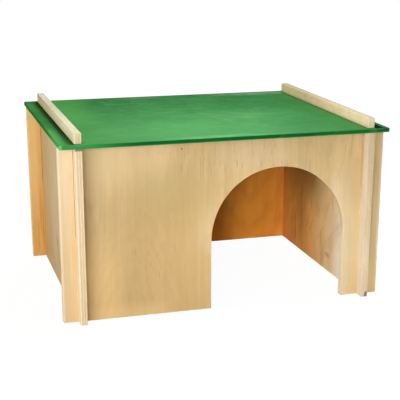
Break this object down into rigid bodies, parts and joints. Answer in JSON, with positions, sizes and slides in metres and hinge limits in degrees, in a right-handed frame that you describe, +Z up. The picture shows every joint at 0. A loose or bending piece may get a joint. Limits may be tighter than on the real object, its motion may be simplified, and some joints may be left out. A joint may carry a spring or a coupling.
{
  "type": "rabbit house",
  "caption": "Flat-roof hideaway for a rabbit: slotted plywood walls with an arched doorway, open below, and a painted lift-off roof held by tongues.",
  "frame": {"origin": "on the ground under the middle of the roof", "axes": "+Z up, the doorway faces -Y, +X to the right of someone facing the doorway"},
  "size_m": [0.45, 0.35, 0.2553],
  "materials": {
    "front_plywood": "bare sanded plywood",
    "back_plywood": "bare sanded plywood",
    "side_plywood": "bare sanded plywood",
    "roof_paint": "green satin paint on plywood"
  },
  "bodies": {
    "front_and_back": {"front_panel": "front_plywood", "back_panel": "back_plywood"},
    "left_side": {"left_side_panel": "side_plywood"},
    "right_side": {"right_side_panel": "side_plywood"},
    "roof": {"roof_panel": "roof_paint"}
  },
  "joints": [
    {"name": "left_side_lift", "type": "slide", "parent": "front_and_back", "child": "left_side", "axis": [0, 0, 1], "range_m": [0, 0.122]},
    {"name": "right_side_lift", "type": "slide", "parent": "front_and_back", "child": "right_side", "axis": [0, 0, 1], "range_m": [0, 0.122]},
    {"name": "roof_lift", "type": "slide", "parent": "left_side", "child": "roof", "axis": [0, 0, 1], "range_m": [0, 0.06]}
  ],
  "couplings": [
    {"joint": "right_side_lift", "follows": "left_side_lift", "ratio": 1}
  ]
}
